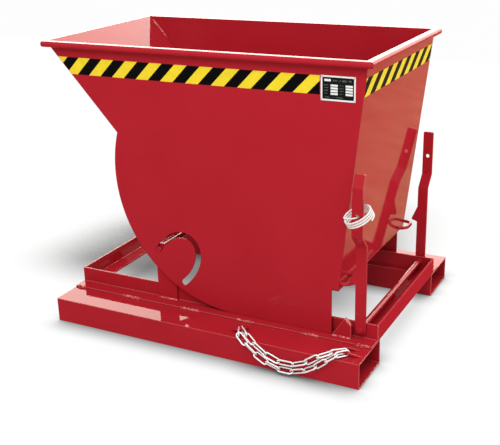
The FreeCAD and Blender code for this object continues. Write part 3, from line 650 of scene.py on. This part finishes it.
def plate_fields():
    """White border and blank fields of the data plate, and grey strips beside them."""
    low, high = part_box("data_plate")
    width, height = high.x - low.x, high.z - low.z
    lift = Vector((0, -FIELD_RAISE, 0))

    def bar(bm, x_shares, z_shares):
        x0, x1 = (low.x + width * share for share in x_shares)
        z0, z1 = (low.z + height * share for share in z_shares)
        thin_plate(bm, [(x0, low.y, z0), (x1, low.y, z0), (x1, low.y, z1), (x0, low.y, z1)], lift)

    white = bmesh.new()
    grey = bmesh.new()
    border_ring(white, low, high, lift)
    bar(white, HEADER_WIDTH_SHARES, HEADER_HEIGHT_SHARES)
    for row in range(FIELD_ROWS):
        foot_share = FIELD_FOOT_SHARE + FIELD_PITCH_SHARE * row
        for column in FIELD_COLUMN_SHARES:
            bar(white, column, (foot_share, foot_share + FIELD_PITCH_SHARE * FIELD_FILL_SHARE))
        strip_share = foot_share + FIELD_PITCH_SHARE * STRIP_FILL_SHARE
        for column in STRIP_COLUMN_SHARES:
            bar(grey, column, (strip_share, strip_share + FIELD_PITCH_SHARE * STRIP_FILL_SHARE))
    for strip in TITLE_STRIP_SHARES:
        bar(grey, strip, TITLE_HEIGHT_SHARES)
    for strip in FOOT_STRIP_SHARES:
        bar(grey, strip, FOOT_HEIGHT_SHARES)
    mesh_piece("data_plate_fields", white, plate_white, "hopper")
    mesh_piece("data_plate_strips", grey, plate_grey, "hopper")


def add_ring(bm, middle, across, upward, radius, sides):
    """A round of points in the plane of two directions."""
    ring = []
    for k in range(sides):
        angle = 2 * math.pi * k / sides
        ring.append(bm.verts.new(middle + (across * math.cos(angle) + upward * math.sin(angle)) * radius))
    return ring


def close_rings(bm, rings):
    """Faces between neighbouring rings, and a cap on each end."""
    sides = len(rings[0])
    for a, b in zip(rings, rings[1:]):
        for k in range(sides):
            j = (k + 1) % sides
            bm.faces.new((a[k], a[j], b[j], b[k]))
    bm.faces.new(rings[0])
    bm.faces.new(rings[-1])


def add_bead(bm, start, end, radius):
    """One weld bead with ripples, along a straight joint."""
    start, end = Vector(start), Vector(end)
    along = end - start
    count = max(BEAD_LEAST_RINGS, round(along.length / BEAD_STEP) * 2)
    along.normalize()
    across = along.orthogonal().normalized()
    upward = along.cross(across)
    rings = []
    for i in range(count + 1):
        share = i / count
        ripple = 1.0 - BEAD_RIPPLE_SHARE * (i % 2)
        taper = math.sqrt(max(0.0, 1.0 - abs(2.0 * share - 1.0) ** BEAD_TAPER_POWER))
        size = radius * ripple * max(taper, BEAD_TIP_SHARE)
        rings.append(add_ring(bm, start.lerp(end, share), across, upward, size, BEAD_SIDES))
    close_rings(bm, rings)


def base_welds():
    """Stitch welds of the rails on the pockets, and of what stands on the rails."""
    bm = bmesh.new()
    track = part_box("guide_bracket_near")[0].z
    for node, side in (("rail_near", -1.0), ("rail_far", 1.0)):
        low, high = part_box(node)
        length = high.x - low.x
        y = (low.y if side < 0 else high.y) - side * STITCH_SINK
        z = track - STITCH_SINK
        for start_share, end_share in STITCH_SHARES:
            add_bead(bm, (low.x + length * start_share, y, z), (low.x + length * end_share, y, z), STITCH)
    for node in ("guide_bracket_near", "guide_bracket_far", "rear_stop"):
        low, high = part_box(node)
        for y in (low.y, high.y):
            add_bead(bm, (low.x, y, low.z), (high.x, y, low.z), BEAD)
    for node, inner in (("front_cross_member", 1.0), ("rear_cross_member", -1.0)):
        low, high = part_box(node)
        thick = track - low.z
        x = (low.x if inner > 0 else high.x) + inner * thick
        for y in (low.y, high.y):
            add_bead(bm, (x, y, low.z + thick), (x, y, high.z), BEAD)
    mesh_piece("base_weld_beads", bm, bead_paint, "base", smooth=True)


def hopper_welds():
    """Inner seams of the hopper."""
    bm = bmesh.new()
    panel_low, panel_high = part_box("front_panel")
    floor_low, floor_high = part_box("floor_panel")
    rear_low, rear_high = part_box("rear_panel")
    wall = panel_high.x - floor_low.x
    for side_y, inward in ((floor_low.y, SEAM_INSET), (floor_high.y, -SEAM_INSET)):
        y = side_y + inward
        z = floor_high.z + SEAM_INSET
        front_foot = Vector((floor_low.x + wall + SEAM_INSET, y, z))
        front_top = Vector((panel_low.x + wall + SEAM_INSET, y, panel_high.z))
        rear_foot = Vector((rear_low.x - SEAM_INSET, y, z))
        rear_top = Vector((rear_low.x + rear_high.x - floor_high.x - SEAM_INSET, y, rear_high.z))
        high_start, high_end = (front_foot.lerp(front_top, share) for share in SEAM_HIGH_SHARES)
        for start, end in (
            (front_foot, rear_foot),
            (front_foot, front_foot.lerp(front_top, SEAM_LOW_SHARE)),
            (high_start, high_end),
            (rear_foot, rear_foot.lerp(rear_top, SEAM_LOW_SHARE)),
        ):
            add_bead(bm, start, end, BEAD)
    mesh_piece("hopper_weld_beads", bm, bead_paint, "hopper", smooth=True)


def rope_route():
    """Points of the rope: out of the lever's hole, down the coil's turns and out to its loose end."""
    slope_x, slope_y = COIL_SLOPE_SHARES
    normal = Vector((-slope_x, -slope_y, 1)).normalized()
    axis_a = Vector((1, 0, slope_x)).normalized()
    axis_b = normal.cross(axis_a)
    middle_angle = (COIL_START + COIL_END) / 2
    climb = COIL_PITCH / (2 * math.pi)

    def turn(angle):
        radial = axis_a * math.cos(angle) + axis_b * math.sin(angle)
        return COIL_CENTRE + radial * COIL_RADIUS + normal * climb * (angle - middle_angle)

    count = round((COIL_END - COIL_START) / (2 * math.pi) * COIL_POINTS_PER_TURN)
    step = (COIL_END - COIL_START) / count
    coil = [turn(COIL_END - step * i) for i in range(count + 1)]
    loose_end = coil[-1] + (coil[-1] - coil[-2]).normalized() * ROPE_DIAMETER
    return [ROPE_INSIDE, ROPE_MOUTH] + coil + [loose_end]


def smooth_line(name, points):
    """Points along the smooth spline that has the route's points as its control points."""
    curve = bpy.data.curves.new(name, "CURVE")
    curve.dimensions = "3D"
    curve.resolution_u = ROPE_LINE_STEPS
    spline = curve.splines.new("NURBS")
    spline.points.add(len(points) - 1)
    for control, point in zip(spline.points, points):
        control.co = (*point, 1.0)
    spline.order_u = 3
    spline.use_endpoint_u = True
    line = bpy.data.objects.new(name, curve)
    bpy.context.scene.collection.objects.link(line)
    mesh = bpy.data.meshes.new_from_object(line)
    path = [Vector(v.co) for v in mesh.vertices]
    bpy.data.objects.remove(line)
    bpy.data.curves.remove(curve)
    bpy.data.meshes.remove(mesh)
    return path


def carried_frames(path):
    """At each point of a path, two directions across it that don't twist."""
    frames = []
    across = None
    for i in range(len(path)):
        along = (path[min(i + 1, len(path) - 1)] - path[max(i - 1, 0)]).normalized()
        if across is None:
            across = along.orthogonal()
        across = (across - along * across.dot(along)).normalized()
        frames.append((across, along.cross(across)))
    return frames


def add_tube(bm, path, radius):
    """A closed tube along a path."""
    rings = []
    for point, (across, upward) in zip(path, carried_frames(path)):
        rings.append(add_ring(bm, point, across, upward, radius, STRAND_SIDES))
    close_rings(bm, rings)


def latch_rope():
    """A laid rope of three strands that stands for the coil's solid, with a stopper knot in the lever."""
    path = smooth_line("rope_line", rope_route())
    strand_radius = ROPE_DIAMETER / 2 * STRAND_RADIUS_SHARE
    helix = ROPE_DIAMETER / 2 - strand_radius
    frames = carried_frames(path)
    lengths = [0.0]
    for a, b in zip(path, path[1:]):
        lengths.append(lengths[-1] + (b - a).length)
    bm = bmesh.new()
    for strand in range(ROPE_STRANDS):
        line = []
        for point, (across, upward), run in zip(path, frames, lengths):
            angle = 2 * math.pi * (run / ROPE_LAY + strand / ROPE_STRANDS)
            line.append(point + (across * math.cos(angle) + upward * math.sin(angle)) * helix)
        add_tube(bm, line, strand_radius)
    rope = mesh_piece("latch_rope", bm, fibre, "latch", smooth=True)
    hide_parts("release_rope")
    knot = stopper_knot()


def stopper_knot():
    """A knot behind the lever, which keeps the rope in its hole."""
    bm = bmesh.new()
    line = []
    for i in range(KNOT_STEPS):
        angle = 2 * math.pi * KNOT_TURNS * i / KNOT_STEPS
        lobe = angle * KNOT_CROSSINGS / KNOT_TURNS
        reach = KNOT_RADIUS * (KNOT_RING_SHARE + (1 - KNOT_RING_SHARE) * math.cos(lobe))
        depth = KNOT_RADIUS * KNOT_RING_SHARE * math.sin(lobe)
        line.append(ROPE_INSIDE + Vector((reach * math.cos(angle), depth, reach * math.sin(angle))))
    add_tube(bm, line, ROPE_DIAMETER * KNOT_STRAND_SHARE)
    return mesh_piece("rope_stopper_knot", bm, fibre, "latch", smooth=True)


def floor_shade(graph):
    """Painted grey shadow tone of the floor: a wide shade behind the skip, and a narrow one where it
    stands.
    """
    slant = graph.add("CombineXYZ")
    for socket, value in zip(slant.inputs, SHADE_SLANT):
        graph.put(socket, value)
    open_sky = graph.openness(SHADE_REACH, SHADE_SAMPLES, Normal=slant.outputs["Vector"])
    depth = graph.between(open_sky, 1.0, 0.0, SHADE_OPEN_SHARES)
    for axis, ends in SHADE_ENDS:
        fade = graph.between(graph.along(axis), 1.0, 0.0, ends, "SMOOTHSTEP")
        depth = graph.maths("MULTIPLY", depth, fade)
    wide = graph.between(depth, 1.0, SHADE_SHARE, WHOLE_SHARES)
    close = graph.openness(CONTACT_REACH, SHADE_SAMPLES)
    contact = graph.between(close, CONTACT_SHARE, 1.0, CONTACT_OPEN_SHARES)
    return graph.maths("MULTIPLY", wide, contact)


def floor_material():
    """White with a soft grey shade for the camera, and warm where the paint mirrors its back half."""
    graph = new_graph("floor_pale")
    rays = graph.add("LightPath")
    is_camera = rays.outputs["Is Camera Ray"]
    pale = graph.mottled(FLOOR_TONE_NOISE, FLOOR_PALE, PURE_WHITE)
    material = graph.surface(
        Base_Color=graph.colours(is_camera, FLOOR_GREY, pale),
        Roughness=FLOOR_ROUGH_SHARE,
        Specular_IOR_Level=FLOOR_GLOSS_SHARE,
    )
    # The floor glows only for gloss rays, a painted warm reflection in the paint: dim at the front,
    # mottled at the back.
    back = graph.between(graph.along("Y"), 0.0, 1.0, WARM_FROM_TO_Y)
    mirrored = graph.colours(back, FLOOR_DIM, graph.mottled(FLOOR_BACK_NOISE, FLOOR_BROWN, FLOOR_WARM))
    lit = graph.tree.nodes["Principled BSDF"].outputs["BSDF"]
    lit = graph.blend_shaders(rays.outputs["Is Glossy Ray"], lit, graph.glow(mirrored))
    # For the camera the floor glows with its painted shadow tone.
    seen = graph.maths("MULTIPLY", is_camera, SHADE_MIX_SHARE)
    lit = graph.blend_shaders(seen, lit, graph.glow(floor_shade(graph)))
    graph.feed(graph.tree.nodes["Material Output"], Surface=lit)
    return material


def stage():
    """A wide pale floor."""
    bm = bmesh.new()
    far = FLOOR_HALF
    corners = [(-far, -far), (far, -far), (far, far), (-far, far)]
    bm.faces.new([bm.verts.new((x, y, cad_box[0][2])) for x, y in corners])
    mesh = bpy.data.meshes.new("floor")
    bm.to_mesh(mesh)
    bm.free()
    mesh.materials.append(floor_material())
    floor = bpy.data.objects.new("floor", mesh)
    bpy.context.scene.collection.objects.link(floor)


def world():
    """White for the camera, cream in reflections, softer as light on the object."""
    room = bpy.data.worlds.new("room")
    bpy.context.scene.world = room
    graph = Graph(room)
    rays = graph.add("LightPath")
    is_glossy = rays.outputs["Is Glossy Ray"]
    seen = graph.maths("MAXIMUM", rays.outputs["Is Camera Ray"], is_glossy)
    graph.feed(
        graph.tree.nodes["Background"],
        Color=graph.colours(is_glossy, PURE_WHITE, SKY_CREAM),
        Strength=graph.between(seen, WORLD_FILL_SHARE, 1.0, WHOLE_SHARES),
    )


def soft_box(name, place, aim, width, height, power, colour, lights_paint):
    """A lamp that the camera doesn't see; without lights_paint it shows in gloss alone."""
    lamp = bpy.data.lights.new(name, "AREA")
    lamp.shape = "RECTANGLE"
    lamp.size = width
    lamp.size_y = height
    lamp.energy = power
    lamp.color = colour[:3]
    light = bpy.data.objects.new(name, lamp)
    bpy.context.scene.collection.objects.link(light)
    light.location = place
    light.rotation_euler = (Vector(aim) - Vector(place)).to_track_quat("-Z", "Y").to_euler()
    light.visible_camera = False
    light.visible_diffuse = lights_paint


def camera():
    """A camera at the photograph's viewpoint."""
    lens = bpy.data.cameras.new("photo_view")
    lens.sensor_fit = "HORIZONTAL"
    lens.sensor_width = SENSOR_WIDTH_MM
    lens.lens = FOCAL_PX / IMAGE_WIDTH_PX * SENSOR_WIDTH_MM
    back = Vector((
        math.sin(CAMERA_AZIMUTH) * math.cos(CAMERA_ELEVATION),
        -math.cos(CAMERA_AZIMUTH) * math.cos(CAMERA_ELEVATION),
        math.sin(CAMERA_ELEVATION),
    ))
    right = Vector((math.cos(CAMERA_AZIMUTH), math.sin(CAMERA_AZIMUTH), 0))
    upward = back.cross(right)
    cos, sin = math.cos(CAMERA_ROLL), math.sin(CAMERA_ROLL)
    turned_right = right * cos + upward * sin
    turned_up = upward * cos - right * sin
    eye = bpy.data.objects.new("photo_view", lens)
    bpy.context.scene.collection.objects.link(eye)
    rotation = Matrix((turned_right, turned_up, back)).transposed().to_4x4()
    eye.matrix_world = Matrix.Translation(CAMERA_PLACE) @ rotation
    bpy.context.scene.camera = eye


bpy.context.scene.view_settings.view_transform = "Standard"
camera()
latch_rope()
paint_nodes()
tapes()
plate_fields()
base_welds()
hopper_welds()
stage()
world()
for box_name, settings in SOFT_BOXES.items():
    soft_box(box_name, *settings)
